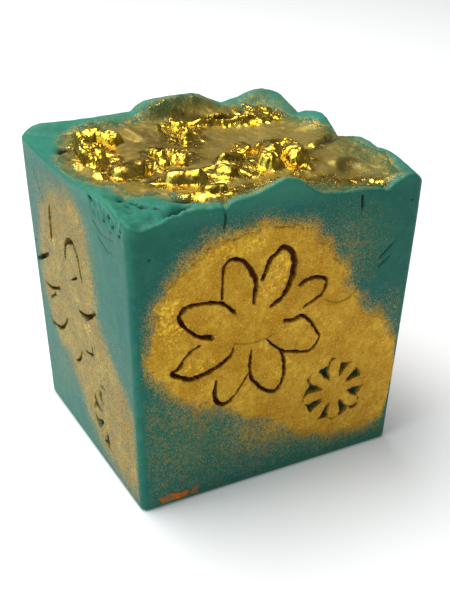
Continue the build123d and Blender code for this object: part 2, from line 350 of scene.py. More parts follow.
def drawn_daisy(cx, cy, turn, seed):
    """A whole large daisy: eight round-ended petals, each a groove from the foot of a spoke and back."""
    strokes = []
    half_turn = math.radians(22.5)  # half the angle between two petals
    side = LARGE_REACH - PETAL_HALF_WIDTH
    join = PETAL_HALF_WIDTH / math.sin(half_turn) * math.cos(half_turn) + 0.6
    for k in range(8):
        a = math.radians(turn + 45 * k)
        shape = [(SPOKE_FOOT * math.cos(half_turn), SPOKE_FOOT * math.sin(half_turn))]
        shape.append((join, PETAL_HALF_WIDTH))
        for t in np.radians(range(0, 181, 30)):
            shape.append((side + PETAL_HALF_WIDTH * math.sin(t), PETAL_HALF_WIDTH * math.cos(t)))
        shape.append((join, -PETAL_HALF_WIDTH))
        points = []
        for n, (out, across) in enumerate(shape):
            x = cx + out * math.cos(a) - across * math.sin(a)
            y = cy + out * math.sin(a) + across * math.cos(a)
            points.append((x, y, GROOVE_WIDTH * (0.75 + 0.5 * float(lattice(n, k, seed)))))
        strokes.append(curve_through(points))
    return strokes


LARGE_DAISIES = {
    "front": [curve_through(petal) for petal in FRONT_PETALS],
    "left": [curve_through(petal) for petal in LEFT_PETALS],
    "right": drawn_daisy(22.0, 37.5, 6, 3),
    "back": drawn_daisy(24.5, 36.0, 30, 4),
}

# Small daisies: middle, reach of each petal in turn from the one at turn degrees, turn.
SMALL_DAISIES = {
    "front": (46.3, 17.0, [7.9, 7.4, 7.9, 8.1, 7.6, 7.8, 7.3, 8.0], 4),
    "left": (40.0, 13.0, [7.4, 7.2, 7.4, 7.0, 7.3, 7.2, 7.4, 7.1], 12),
    "right": (41.0, 15.5, [7.2, 7.3, 7.0, 7.2, 7.4, 7.2, 7.1, 7.3], 30),
    "back": (46.0, 15.0, [7.3, 7.0, 7.2, 7.3, 7.1, 7.4, 7.2, 7.0], 5),
}
SMALL_HALF_WIDTH = 1.42
SMALL_DEPTH = 1.3
SMALL_WEDGE = 6.9  # how far out the cuts between the petals reach
SMALL_OUTLINE = 0.12  # width of the cut round the petals' tips


def small_recess(wall, x, y):
    """Distance to the edge of the small daisy's cut-out wedges: below 0 inside them."""
    cx, cy, reaches, turn = SMALL_DAISIES[wall]
    wobble = 0.22 * rough(x, y, 1.6, 11) + 0.1 * noise(x, y, 0.5, 12)
    petals = np.full(np.shape(x), 99.0)
    for k, reach in enumerate(reaches):
        a = math.radians(turn + 45 * k)
        along = (x - cx) * math.cos(a) + (y - cy) * math.sin(a)
        across = (y - cy) * math.cos(a) - (x - cx) * math.sin(a)
        tip = reach - SMALL_HALF_WIDTH
        waist = SMALL_HALF_WIDTH * (0.82 + 0.18 * smooth(3.5, 6.0, along))
        gap = np.hypot(np.maximum(along - tip, 0) + np.maximum(-along, 0), across) - waist
        petals = np.minimum(petals, gap)
    wedges = np.hypot(x - cx, y - cy) - SMALL_WEDGE - 0.8 * noise(x, y, 3.0, 14)
    outline = petals - SMALL_OUTLINE - 0.45 * noise(x, y, 2.6, 13)
    cut = np.maximum(np.minimum(wedges, outline), -petals) + wobble
    if wall == "left":  # thick powder kept the cutter's right half from cutting
        cut = np.maximum(cut, x - cx - 0.5 - 1.5 * noise(x, y, 4.0, 15))
    return cut


# ---------------------------------------------------------------- the walls
def lean(up):
    """How far the walls stand in from the rim's outline at a height."""
    return DRAFT * (1 - np.minimum(up, HEIGHT) / HEIGHT)


def corner(up):
    """Radius of the upright edges at a height."""
    return CORNER + WORN * smooth(48.0, HEIGHT + 2, up) ** 1.5


FLAT = {wall: SPAN[wall] - 2 * CORNER for wall in WALLS}
QUARTER = CORNER * math.pi / 2
START = {}  # where each wall's flat part starts along the perimeter
perimeter = 0.0
for wall in WALLS:
    START[wall] = perimeter
    perimeter += FLAT[wall] + QUARTER


def to_perimeter(wall, along, up):
    """The perimeter coordinate of a point of a wall's flat part."""
    half = SPAN[wall] / 2
    share = (along - half) / (half - lean(up) - corner(up))
    return START[wall] + (share + 1) * FLAT[wall] / 2


def wall_of(s):
    """Which wall each perimeter coordinate is on, its share of the flat part, and its turn past it."""
    s = np.mod(s, perimeter)
    index = np.searchsorted([START[w] for w in WALLS], s, side="right") - 1
    start = np.array([START[w] for w in WALLS])[index]
    flat = np.array([FLAT[w] for w in WALLS])[index]
    share = np.clip((s - start) / flat, 0, 1) * 2 - 1
    turn = np.clip((s - start - flat) / QUARTER, 0, 1) * math.pi / 2
    return index, share, turn


def wall_point(s, up, out=0.0, inset=0.0):
    """Points on the block's side: a perimeter coordinate, a height, and a distance out of the surface."""
    index, share, turn = wall_of(s)
    half_x, half_y = HALF_X - lean(up) - inset, HALF_Y - lean(up) - inset
    radius = corner(up) - min(inset, CORNER - 0.2)
    is_x = index % 2 == 0  # front and back run along X
    reach = np.where(is_x, half_x, half_y) - radius
    across = np.where(is_x, half_y, half_x)
    facing = index * math.pi / 2 - math.pi / 2
    nx, ny = np.cos(facing + turn), np.sin(facing + turn)
    tx, ty = -np.sin(facing), np.cos(facing)
    fx, fy = np.cos(facing), np.sin(facing)
    x = tx * share * reach + fx * (across - radius) + nx * (radius + out)
    y = ty * share * reach + fy * (across - radius) + ny * (radius + out)
    return x, y, nx, ny


def on_wall(wall, along, up, out):
    """Points of one wall's flat frame in space."""
    x, y, _, _ = wall_point(to_perimeter(wall, along, up), up, out)
    return np.column_stack([x, y, up])


# Cracks and scratches: strokes of (along, up, width) with their depth. Pits: along, up, radius, depth.
CRACKS = {
    "front": [
        (0.5, [(19.0, 63.4, 0.4), (19.2, 61.0, 0.15), (18.9, 59.4, 0.1)]),
        (0.7, [(48.9, 60.2, 0.3), (49.1, 58.0, 0.3)]),
        (0.25, [(57.3, 48.6, 0.2), (54.4, 46.0, 0.2)]),
        (0.25, [(57.0, 46.0, 0.15), (54.5, 44.2, 0.2)]),
        (0.16, [(42.0, 39.6, 0.05), (44.5, 38.4, 0.1), (47.0, 38.5, 0.1), (49.0, 39.6, 0.05),
                (50.6, 42.0, 0.05)]),
        (0.14, [(21.8, 34.6, 0.05), (25.0, 33.8, 0.1), (28.6, 34.0, 0.05), (31.0, 34.6, 0.05)]),
    ],
    "left": [
        (1.2, [(55.6, 62.8, 0.5), (56.8, 61.6, 0.9), (57.6, 60.4, 0.4)]),
        (0.5, [(40.0, 63.0, 0.5), (41.2, 62.4, 0.7)]),
        (0.12, [(42.0, 58.6, 0.2), (46.0, 57.2, 0.3), (51.0, 57.8, 0.2)]),
        (0.12, [(44.5, 55.8, 0.2), (48.0, 54.6, 0.3), (50.5, 55.0, 0.2)]),
        (0.1, [(8.0, 57.5, 0.15), (11.5, 54.0, 0.2), (12.5, 51.5, 0.15)]),
    ],
    "right": [(0.3, [(12.0, 50.0, 0.2), (18.0, 53.0, 0.3)])],
    "back": [(0.3, [(44.0, 52.0, 0.2), (50.0, 54.5, 0.3)])],
}
PITS = {
    "front": [(51.0, 34.2, 0.25, 0.2), (61.0, 57.5, 0.3, 0.3), (4.2, 56.0, 0.3, 0.3)],
    "left": [(40.6, 62.6, 0.55, 0.9), (49.5, 61.8, 0.5, 0.9), (51.2, 60.4, 0.3, 0.6),
             (53.5, 62.4, 0.45, 0.8), (54.2, 59.8, 0.35, 0.6), (52.6, 61.2, 0.3, 0.6),
             (47.2, 60.2, 0.3, 0.5), (50.4, 59.2, 0.25, 0.5), (55.0, 61.0, 0.3, 0.7),
             (4.0, 40.0, 0.3, 0.4)],
    "right": [(50.0, 40.0, 0.4, 0.4)],
    "back": [(8.0, 50.0, 0.4, 0.4)],
}
CRACK_STROKES = {w: [curve_through(path) for _, path in cracks] for w, cracks in CRACKS.items()}


def wall_relief(wall, x, y):
    """How far the soap stands out of the true wall at points of its flat frame: grooves, recesses and
    handling. Also gives the distances to the grooves and to the small daisy's recess, and how much
    painted shade darkens the recess, cracks and pits."""
    groove = stroke_distance(x, y, LARGE_DAISIES[wall])
    groove = groove - 0.08 + 0.1 * noise(x, y, 0.9, 21) + 0.08 * noise(x, y, 0.4, 28)
    recess = small_recess(wall, x, y)
    out = 0.10 * rough(x, y, 14.0, 22) + 0.03 * rough(x, y, 1.4, 23)
    out = out - GROOVE_DEPTH * smooth(0.0, 0.12, -groove) * (0.85 + 0.3 * noise(x, y, 4.0, 24))
    out = out - SMALL_DEPTH * smooth(0.0, 0.25, -recess) * (0.85 + 0.35 * noise(x, y, 1.5, 25))
    burr = np.exp(-((groove - 0.18) / 0.16) ** 2) * (groove > 0)
    crumb = np.exp(-((recess - 0.3) / 0.35) ** 2) * (recess > 0)
    out = out + 0.10 * burr * (1 + 0.8 * noise(x, y, 0.9, 26)) + 0.16 * crumb * noise(x, y, 0.7, 27) ** 2
    if wall == "left":
        torn = smooth(37.0, 42.0, x) * smooth(59.0, 61.5, y)
        out = out + torn * (0.3 * rough(x, y, 2.2, 29) + 0.25 * (creased(x, y, 1.6, 30) - 0.8))
    # Painted shade: the small daisy's recess, cracks and pits are painted dark.
    dark = 0.75 * smooth(0.1, -0.3, recess)
    for (depth, _), stroke in zip(CRACKS[wall], CRACK_STROKES[wall]):
        gap = stroke_distance(x, y, [stroke])
        out = out - depth * smooth(0.25, -0.1, gap)
        dark = np.maximum(dark, min(depth * 1.6, 1.0) * smooth(0.22, -0.05, gap))
    for cx, cy, radius, depth in PITS[wall]:
        gap = np.hypot(x - cx, (y - cy) * 1.3) - radius
        out = out - depth * smooth(0.15, -0.25, gap)
        dark = np.maximum(dark, smooth(0.1, -0.2, gap) * min(depth * 1.4, 1.0))
    return out, groove, recess, dark


# ---------------------------------------------------------------- the top
def rim_height(x, y):
    """Height of the rim nearest to points of the top."""
    near_x, near_y = abs(x) / HALF_X, abs(y) / HALF_Y
    on_front_or_back = near_y >= near_x
    walls = np.where(on_front_or_back, np.where(y < 0, 0, 2), np.where(x > 0, 1, 3))
    scale = np.maximum(np.maximum(near_x, near_y), 1e-6)
    px, py = x / scale, y / scale
    z = np.full(np.shape(x), HEIGHT)
    alongs = (px + HALF_X, py + HALF_Y, HALF_X - px, HALF_Y - py)
    for k, wall in enumerate(WALLS):
        u, v = np.array(RIM_LINE[wall], float).T
        z = np.where(walls == k, np.interp(alongs[k], u, v), z)
    return z


def rim_depth(x, y):
    """How far points lie inside the rim's outline."""
    radius = CORNER + WORN
    qx, qy = abs(x) - (HALF_X - radius), abs(y) - (HALF_Y - radius)
    return radius - np.hypot(np.maximum(qx, 0), np.maximum(qy, 0)) - np.minimum(np.maximum(qx, qy), 0)


def top_z(x, y):
    """Height of the soap under the gold skin."""
    z = HEIGHT + sum(rise * bell(x, y, cx, cy, a, b, turn) for cx, cy, rise, a, b, turn in TOP_RELIEF)
    calm = smooth(0.8, 4.0, rim_depth(x, y))
    z = z + calm * sum(fold(x, y, *shape) for shape in TOP_FOLDS)
    z = z + 0.22 * rough(x, y, 6.0, 31)
    at_rim = smooth(5.0, 0.8, rim_depth(x, y) + 0.6 * noise(x, y, 4.0, 33))
    z = z * (1 - at_rim) + rim_height(x, y) * at_rim
    lip = bell(x, y, -29.5, -22.0, 2.5, 8.0) + bell(x, y, -24.0, -27.5, 7.0, 2.2)
    z = z + np.minimum(lip, 1) * (0.3 * rough(x, y, 2.4, 34) + 0.35 * (creased(x, y, 2.0, 35) - 0.8))
    for cx, cy, a, b, turn, depth in TOP_HOLES:
        z = z - depth * bell(x, y, cx, cy, a, b, turn)
    return z + (0.05 + 0.06 * calm) * rough(x, y, 1.2, 32)


SKIN_OUTLINE = [
    (27.0, -27.6), (29.8, -20.0), (30.2, -8.0), (31.4, 2.0), (29.2, 6.0), (27.4, 11.0), (28.4, 18.0),
    (25.0, 23.5), (17.0, 25.6), (12.0, 27.6), (3.0, 27.4), (-3.0, 26.6), (-8.0, 26.0), (-16.0, 26.6),
    (-23.0, 25.0), (-26.4, 21.0), (-27.0, 17.0), (-29.8, 12.0), (-31.2, 6.0), (-31.0, 0.0), (-29.6, -6.0),
    (-26.8, -9.0), (-26.7, -12.6), (-24.6, -17.0), (-20.4, -17.5), (-17.2, -21.4), (-14.6, -25.2),
    (-11.0, -27.4), (-4.0, -27.8), (4.0, -27.2), (12.0, -27.8), (20.0, -27.4),
]
skin_line = curve_through(SKIN_OUTLINE + SKIN_OUTLINE[:1])


def inside(x, y, outline):
    """Whether points are inside a closed outline, by the even-odd rule."""
    odd = np.zeros(np.shape(x), bool)
    for (ax, ay), (bx, by) in zip(outline, np.roll(outline, -1, axis=0)):
        crosses = (ay > y) != (by > y)
        odd ^= crosses & (x < (bx - ax) * (y - ay) / np.where(by == ay, 1e-9, by - ay) + ax)
    return odd


def outline_depth(x, y, outline):
    """How far points lie inside a closed outline: below 0 outside it."""
    edge = stroke_distance(x, y, [np.column_stack([outline, np.zeros(len(outline))])])
    return np.where(inside(x, y, outline), edge, -edge)


# ---------------------------------------------------------------- where the mica powder lies on each wall
DUST_OUTLINES = {
    "front": [
        (3, 33), (4, 41), (8, 50.5), (13, 54.5), (17, 57.5), (25, 58.5), (34, 57.5), (40, 54), (46, 47),
        (50, 38.5), (54, 34), (59, 29.5), (62.0, 24), (62.0, 10), (55, 5), (45, 5.5), (38, 8.5),
        (31, 13.5), (24, 17.5), (17, 20.5), (9, 26),
    ],
    "left": [
        (5, 29), (6, 38.5), (9, 50), (16.5, 57), (24, 59), (32.5, 58.5), (37, 53.5), (39, 45),
        (39.5, 37.5), (47, 29), (53, 23.5), (55, 14), (54.5, 3), (46, 1.5), (35, 4.5), (28.5, 7.5),
        (25, 12.5), (18, 17.5), (11, 21),
    ],
    "right": [
        (4, 31), (4, 43), (11, 53), (22, 57.5), (33, 54), (40, 45), (42, 35), (48, 28), (54, 22),
        (55, 12), (49, 5), (38, 5), (31, 10), (26, 17), (16, 20), (8, 24),
    ],
    "back": [
        (5, 30), (5, 42), (12, 52), (24, 56.5), (36, 53), (44, 44), (46, 35), (53, 28), (60, 22),
        (61, 12), (54, 4), (42, 5), (35, 11), (28, 16), (18, 18), (10, 23),
    ],
}
# Thin powder beyond the edge: along, up, half length, half height, how much of the soap it covers.
DUST_HALOES = {
    "front": [(46, 49, 5.5, 6.0, 0.38), (15, 21, 10, 5, 0.45), (50, 5, 9, 2.5, 0.45), (59, 33, 3, 4, 0.3),
              (33, 12.5, 11, 5.5, 0.66), (12, 11, 9, 8, 0.3), (26, 6, 9, 5, 0.25)],
    "left": [(13, 52, 8, 6, 0.3), (44, 27, 8, 6, 0.25), (20, 15, 9, 5, 0.25), (8, 30, 4, 8, 0.25)],
    "right": [(44, 44, 8, 8, 0.35), (16, 18, 9, 5, 0.35)],
    "back": [(48, 44, 8, 8, 0.35), (18, 16, 9, 5, 0.35)],
}
# Half the width of the powder's grainy edge, and its cover in the middle, where 1 or more hides all soap.
DUST_SOFT = {"front": 3.0, "left": 3.4, "right": 3.0, "back": 3.0}
DUST_FULL = {"front": 1.15, "left": 0.7, "right": 1.0, "back": 1.05}
dust_lines = {w: curve_through(points + points[:1]) for w, points in DUST_OUTLINES.items()}


def dust_cover(wall, x, y):
    """Share of the soap that powder covers."""
    depth = outline_depth(x, y, dust_lines[wall]) + 0.9 * rough(x, y, 3.5, 41)
    cover = DUST_FULL[wall] * smooth(-1.3 * DUST_SOFT[wall], 1.0 * DUST_SOFT[wall], depth)
    for cx, cy, a, b, share in DUST_HALOES[wall]:
        cover = np.maximum(cover, share * bell(x, y, cx, cy, a, b))
    spread = 0.05 * smooth(-9.0, 0.0, depth)
    return np.maximum(cover, spread)


# Where oil made the walls' powder shine: along, up, half length, half height, angle.
GLEAMS = {
    "front": [(29.6, 47.5, 3.0, 5.5, -15), (33.2, 50.5, 2.0, 3.0, 0), (8.0, 43.0, 4.0, 5.0, 0),
              (22.0, 54.5, 7.0, 1.6, 5), (33.0, 26.0, 2.0, 3.0, 0), (13.0, 31.0, 4.5, 1.6, 0)],
    "left": [(33.0, 31.5, 1.8, 1.8, 0), (28.5, 36.5, 1.1, 2.6, 0), (16.5, 44.5, 0.7, 2.2, 0)],
    "right": [(22.0, 47.0, 4.0, 5.0, 0), (12.0, 33.0, 4.0, 4.0, 0)],
    "back": [(24.5, 46.0, 4.0, 5.0, 0), (34.0, 30.0, 4.0, 4.0, 0)],
}


def gleam(wall, x, y):
    """How much the powder shines."""
    most = np.max([bell(x, y, cx, cy, a, b, turn) for cx, cy, a, b, turn in GLEAMS[wall]], axis=0)
    return 0.85 * smooth(0.35, 0.95, most * (1 + 0.5 * rough(x, y, 1.6, 43)))


# Loose powder on the soap's top: X, Y, half length, half breadth, share.
TOP_POWDER = [
    (8, 28, 10, 2.0, 0.3), (24, 23, 5, 4, 0.6), (5, -28.2, 17, 1.2, 0.35), (30, -8, 2.0, 8, 0.35),
]


def top_powder(x, y):
    """Share of the soap that powder covers on the top."""
    depth = outline_depth(x, y, skin_line)
    cover = 0.8 * smooth(-1.6, 1.2, depth + 0.6 * rough(x, y, 2.0, 42))
    for cx, cy, a, b, share in TOP_POWDER:
        cover = np.maximum(cover, share * bell(x, y, cx, cy, a, b))
    return cover


def top_painted_shade(x, y):
    """Painted shade in the holes in the top: how dark they are painted."""
    holes = [bell(x, y, cx, cy, a, b, turn) for cx, cy, a, b, turn, _ in TOP_HOLES]
    return smooth(0.25, 0.7, np.max(holes, axis=0))


# ---------------------------------------------------------------- materials
def srgb(r, g, b):
    """A colour given as it looks on a screen, 0 to 255."""
    shares = [c / 255 for c in (r, g, b)]
    linear = [((c + 0.055) / 1.055) ** 2.4 if c > 0.04 else c / 12.92 for c in shares]
    return (*linear, 1.0)


class Nodes:
    """A material's node tree, with one short method for each kind of node it needs."""

    def __init__(self, name):
        self.material = bpy.data.materials.new(name)
        self.material.use_nodes = True
        self.tree = self.material.node_tree
        self.shader = self.tree.nodes["Principled BSDF"]

    def add(self, kind, **settings):
        node = self.tree.nodes.new(kind)
        for key, value in settings.items():
            setattr(node, key, value)
        return node

    def link(self, source, target):
        self.tree.links.new(source, target)

    def place(self):
        return self.add("ShaderNodeTexCoord").outputs["Object"]

    def height(self):
        """Height over the base, in metres."""
        node = self.add("ShaderNodeSeparateXYZ")
        self.link(self.place(), node.inputs["Vector"])
        return node.outputs["Z"]

    def noise(self, size, detail=3.0, roughness=0.55):
        """Noise with features about size mm across."""
        node = self.add("ShaderNodeTexNoise")
        node.inputs["Scale"].default_value = 1 / (size * MM)
        node.inputs["Detail"].default_value = detail
        node.inputs["Roughness"].default_value = roughness
        self.link(self.place(), node.inputs["Vector"])
        return node.outputs["Fac"]

    def cells(self, size, channel):
        """A number spread evenly from 0 to 1 for each cell about size mm across, one for each channel."""
        node = self.add("ShaderNodeTexVoronoi")
        node.inputs["Scale"].default_value = 1 / (size * MM)
        self.link(self.place(), node.inputs["Vector"])
        split = self.add("ShaderNodeSeparateColor")
        self.link(node.outputs["Color"], split.inputs["Color"])
        return split.outputs[channel]

    def ramp(self, fac, low, high, low_value=0.0, high_value=1.0):
        node = self.add("ShaderNodeMapRange")
        node.inputs["From Min"].default_value = low
        node.inputs["From Max"].default_value = high
        node.inputs["To Min"].default_value = low_value
        node.inputs["To Max"].default_value = high_value
        self.link(fac, node.inputs["Value"])
        return node.outputs["Result"]

    def math(self, operation, a, b):
        node = self.add("ShaderNodeMath", operation=operation)
        for socket, value in zip(node.inputs, (a, b)):
            if isinstance(value, (int, float)):
                socket.default_value = value
            else:
                self.link(value, socket)
        return node.outputs[0]

    def mix(self, fac, a, b):
        node = self.add("ShaderNodeMix", data_type="RGBA")
        self.link(fac, node.inputs["Factor"])
        for socket, value in ((node.inputs[6], a), (node.inputs[7], b)):
            if isinstance(value, tuple):
                socket.default_value = value
            else:
                self.link(value, socket)
        return node.outputs[2]

    def attribute(self, name):
        return self.add("ShaderNodeAttribute", attribute_name=name).outputs["Fac"]

    def bump(self, height, strength, distance):
        """A bump distance mm high; several calls stack."""
        node = self.add("ShaderNodeBump")
        node.inputs["Strength"].default_value = strength
        node.inputs["Distance"].default_value = distance * MM
        self.link(height, node.inputs["Height"])
        normal = self.shader.inputs["Normal"]
        if normal.is_linked:
            self.link(normal.links[0].from_socket, node.inputs["Normal"])
        self.link(node.outputs["Normal"], normal)

    def feed(self, key, source):
        self.link(source, self.shader.inputs[key])

    def set(self, **values):
        for key, value in values.items():
            self.shader.inputs[key.replace("_", " ")].default_value = value


TEAL = srgb(26, 106, 96)
TEAL_GREEN = srgb(36, 112, 90)
TEAL_PALE = srgb(76, 142, 130)
# Painted light: paler teal for the lit rim and top.
TEAL_PAINTED_RIM_LIGHT = srgb(72, 154, 126)
TEAL_PAINTED_SHADE = srgb(8, 28, 20)
MICA = srgb(216, 174, 60)
MICA_DEEP = srgb(168, 116, 18)
MICA_SHINE = srgb(238, 192, 60)
# Painted glint colour for a few grains.
MICA_PAINTED_GLINT = srgb(255, 226, 140)


def soap_colour(m):
    """Teal that drifts towards green, with paler mottling and fine pale specks, and painted light: paler
    near the rim and over the top, as the lit bevel looks.
    """
    drift = m.ramp(m.noise(22.0), 0.35, 0.65)
    teal = m.mix(drift, TEAL, TEAL_GREEN)
    mottle = m.math("MULTIPLY", m.ramp(m.noise(2.4, 4.0), 0.45, 0.8), 0.28)
    teal = m.mix(mottle, teal, TEAL_PALE)
    # Painted light: paler teal near the rim and over the top, where the bevel catches the light.
    rim = m.ramp(m.height(), (HEIGHT - 3.0) * MM, (HEIGHT + 1.5) * MM, 0.0, 0.6)
    teal = m.mix(rim, teal, TEAL_PAINTED_RIM_LIGHT)
    pale = m.math("MULTIPLY", m.ramp(m.noise(0.4, 1.0), 0.76, 0.82), 0.5)
    return m.mix(pale, teal, srgb(190, 214, 190))


def mica_colour(m, light, deep):
    """Gold that is deeper in patches, grainy close to, with painted glints: a few grains painted pale, as
    if they catch the light.
    """
    broad = m.ramp(m.noise(6.0), 0.35, 0.65)
    patchy = m.math("MULTIPLY", broad, m.ramp(m.noise(1.3, 4.0, 0.65), 0.35, 0.6))
    fine = m.cells(0.24, "Green")
    colour = m.mix(m.math("MULTIPLY", fine, 0.6), m.mix(patchy, deep, light), light)
    # Painted glints: a few grains painted pale, as if they catch the light.
    spark = m.ramp(m.cells(0.2, "Red"), 0.98, 0.985, 0.0, 0.45)
    return m.mix(spark, colour, MICA_PAINTED_GLINT)


def grain_mask(m):
    """How much powder hides the soap, grain by grain. The cover attribute is the share that it hides."""
    threshold = m.cells(0.13, "Blue")
    clumps = m.ramp(m.noise(0.9, 3.0), 0.25, 0.75, -0.28, 0.28)
    cover = m.attribute("cover")
    cover = m.math("ADD", cover, m.math("MULTIPLY", clumps, m.ramp(cover, 0.05, 0.3)))
    grains = m.ramp(m.math("SUBTRACT", cover, threshold), -0.02, 0.03)
    return m.math("MULTIPLY", grains, m.ramp(m.attribute("cover"), 0.0, 0.85, 0.3, 1.0))


def powdered(m, light, deep, metal):
    """Soap with powder on it, whose relief and gloss follow the grains. Gives its colour and metal."""
    mask = grain_mask(m)
    m.feed("Roughness", m.ramp(mask, 0.0, 1.0, 0.42, 0.52))
    m.bump(m.noise(0.9), 0.3, 0.12)
    m.bump(m.noise(0.3, 3.0, 0.7), 0.5, 0.1)
    m.bump(mask, 0.5, 0.05)
    m.set(IOR=1.46, Specular_IOR_Level=0.15)
    return m.mix(mask, soap_colour(m), mica_colour(m, light, deep)), m.math("MULTIPLY", mask, metal)


def make_soap():
    """Waxy teal soap, powdered where the cover attribute says, with gold trodden into the grooves, painted
    dark brown as gold in shade, and painted shade, near black teal, in the recess, cracks, pits and bare
    grooves.
    """
    m = Nodes("teal soap")
    colour, metal = powdered(m, MICA, MICA_DEEP, 0.7)
    gilt_and_shade = m.attribute("gilt_and_shade")
    dark = m.attribute("dark")
    # Painted shade: groove gold is painted dark brown, as gold in shade, and the recess, cracks, pits and
    # bare grooves near black teal.
    m.feed("Base Color", m.mix(gilt_and_shade, m.mix(dark, colour, TEAL_PAINTED_SHADE), srgb(92, 42, 16)))
    clear = m.math("SUBTRACT", 1.0, m.math("MAXIMUM", gilt_and_shade, dark))
    m.feed("Metallic", m.math("MULTIPLY", metal, clear))
    m.set(Subsurface_Weight=0.1, Subsurface_Scale=0.0012, Subsurface_Radius=(0.4, 1.0, 0.9))
    return m.material


def make_dust(name, light, deep):
    """Pressed mica powder: grainy, with painted glints on a few grains, shiny where the gleam attribute
    says, and painted shade, deep brown, where the dark attribute says: cracks, pits and the recess's edge.
    """
    m = Nodes(name)
    colour, metal = powdered(m, light, deep, 0.75)
    shiny = m.math("MULTIPLY", m.attribute("gleam"), m.ramp(m.noise(0.6, 3.0), 0.49, 0.62))
    # Painted shade: where the dark attribute says, the powder is painted deep brown.
    m.feed("Base Color", m.mix(m.attribute("dark"), m.mix(shiny, colour, MICA_SHINE), srgb(60, 44, 14)))
    m.feed("Metallic", m.math("MAXIMUM", metal, shiny))
    m.feed("Roughness", m.ramp(shiny, 0.0, 1.0, 0.5, 0.25))
    m.bump(m.noise(0.6, 2.0), 0.4, 0.12)
    return m.material


def make_skin():
    """Set mica over the poured top: matt tan, glossy gold where it crumpled, green where it is thin, and
    painted shade, near black brown, in its trenches, hollows and holes.
    """
    m = Nodes("gold mica skin")
    gloss = m.attribute("gloss")
    thin = m.attribute("thin")
    dark = m.attribute("dark")
    patchy = m.ramp(m.noise(5.0), 0.3, 0.7)
    matt = m.mix(patchy, srgb(142, 122, 50), srgb(174, 148, 76))
    bright = m.mix(m.ramp(m.noise(1.6), 0.35, 0.65), srgb(196, 150, 30), srgb(244, 214, 92))
    colour = m.mix(gloss, matt, bright)
    speck = m.cells(0.24, "Blue")
    bare = m.ramp(m.math("SUBTRACT", thin, speck), -0.15, 0.15)
    colour = m.mix(bare, colour, srgb(64, 104, 72))
    # Painted shade in trenches, shaded hollows and holes.
    m.feed("Base Color", m.mix(dark, colour, srgb(44, 32, 8)))
    m.feed("Metallic", m.math("MULTIPLY", m.ramp(gloss, 0.0, 1.0, 0.6, 1.0), m.math("SUBTRACT", 1.0, bare)))
    m.feed("Roughness", m.ramp(gloss, 0.0, 1.0, 0.5, 0.22))
    m.bump(m.noise(1.4, 3.0, 0.5), 0.2, 0.2)
    m.bump(m.math("MULTIPLY", m.noise(0.7, 3.0, 0.6), gloss), 0.6, 0.25)
    m.set(IOR=1.46, Specular_IOR_Level=0.2)
    return m.material


def make_gold(name, light, deep, roughness, bump, size):
    """Set mica in oil: a metallic skin whose gloss depends on how it dried."""
    m = Nodes(name)
    m.feed("Base Color", m.mix(m.ramp(m.noise(2.2), 0.35, 0.65), deep, light))
    m.feed("Roughness", m.ramp(m.noise(1.1), 0.3, 0.7, roughness * 0.7, roughness * 1.4))
    m.bump(m.noise(size, 4.0, 0.6), bump, 0.3)
    m.set(Metallic=1.0)
    return m.material


soap = make_soap()
wall_dust = make_dust("pressed gold mica", MICA, MICA_DEEP)
copper_dust = make_dust("copper mica", srgb(222, 132, 48), srgb(180, 92, 26))
skin_gold = make_skin()
bright_gold = make_gold("bright crumpled gold", srgb(246, 214, 84), srgb(196, 150, 28), 0.27, 0.35, 0.8)
smooth_gold = make_gold("smooth gold", srgb(226, 194, 84), srgb(150, 124, 40), 0.3, 0.14, 1.8)


# ---------------------------------------------------------------- soap_block
COLUMN = 0.5  # spacing of the columns of points round the rim and the base
GRID = 1.1  # spacing over plain soap
columns = np.linspace(0, perimeter, int(perimeter / COLUMN), endpoint=False)
FACE_HEIGHT = HEIGHT - BASE_ROUND


def rim_z(s):
    """Height of the top just inside the rim."""
    x, y, _, _ = wall_point(s, np.full(np.shape(s), HEIGHT), 0.0, RIM_ROUND)
    return top_z(x, y)


def wall_share(s, up):
    """Heights on the side, scaled so that the uneven rim is at the same level everywhere."""
    return (up - BASE_ROUND) * FACE_HEIGHT / (rim_z(s) - RIM_ROUND - BASE_ROUND)


def mark_points(wall):
    """Close-set points of a wall's flat frame, where it is cut, cracked, pitted or torn."""
    marks = [stroke_rows(LARGE_DAISIES[wall], (0.3, 0.12, 0.0, -0.12), 0.28)]
    cx, cy, _, _ = SMALL_DAISIES[wall]
    close = scatter((cx - 8.8, cy - 8.8), (cx + 8.8, cy + 8.8), 0.34, 52)
    marks.append(close[np.hypot(close[:, 0] - cx, close[:, 1] - cy) < 9])
    marks.append(stroke_rows(CRACK_STROKES[wall], (0.3, 0.1, -0.1), 0.25))
    for px, py, radius, _ in PITS[wall]:
        close = scatter((px - 1.5, py - 1.5), (px + 1.5, py + 1.5), 0.2, 56)
        marks.append(close[np.hypot(close[:, 0] - px, close[:, 1] - py) < radius + 0.4])
    if wall == "left":
        marks.append(scatter((37.0, 58.5), (55.5, 63.0), 0.4, 57))
    return np.vstack(marks)


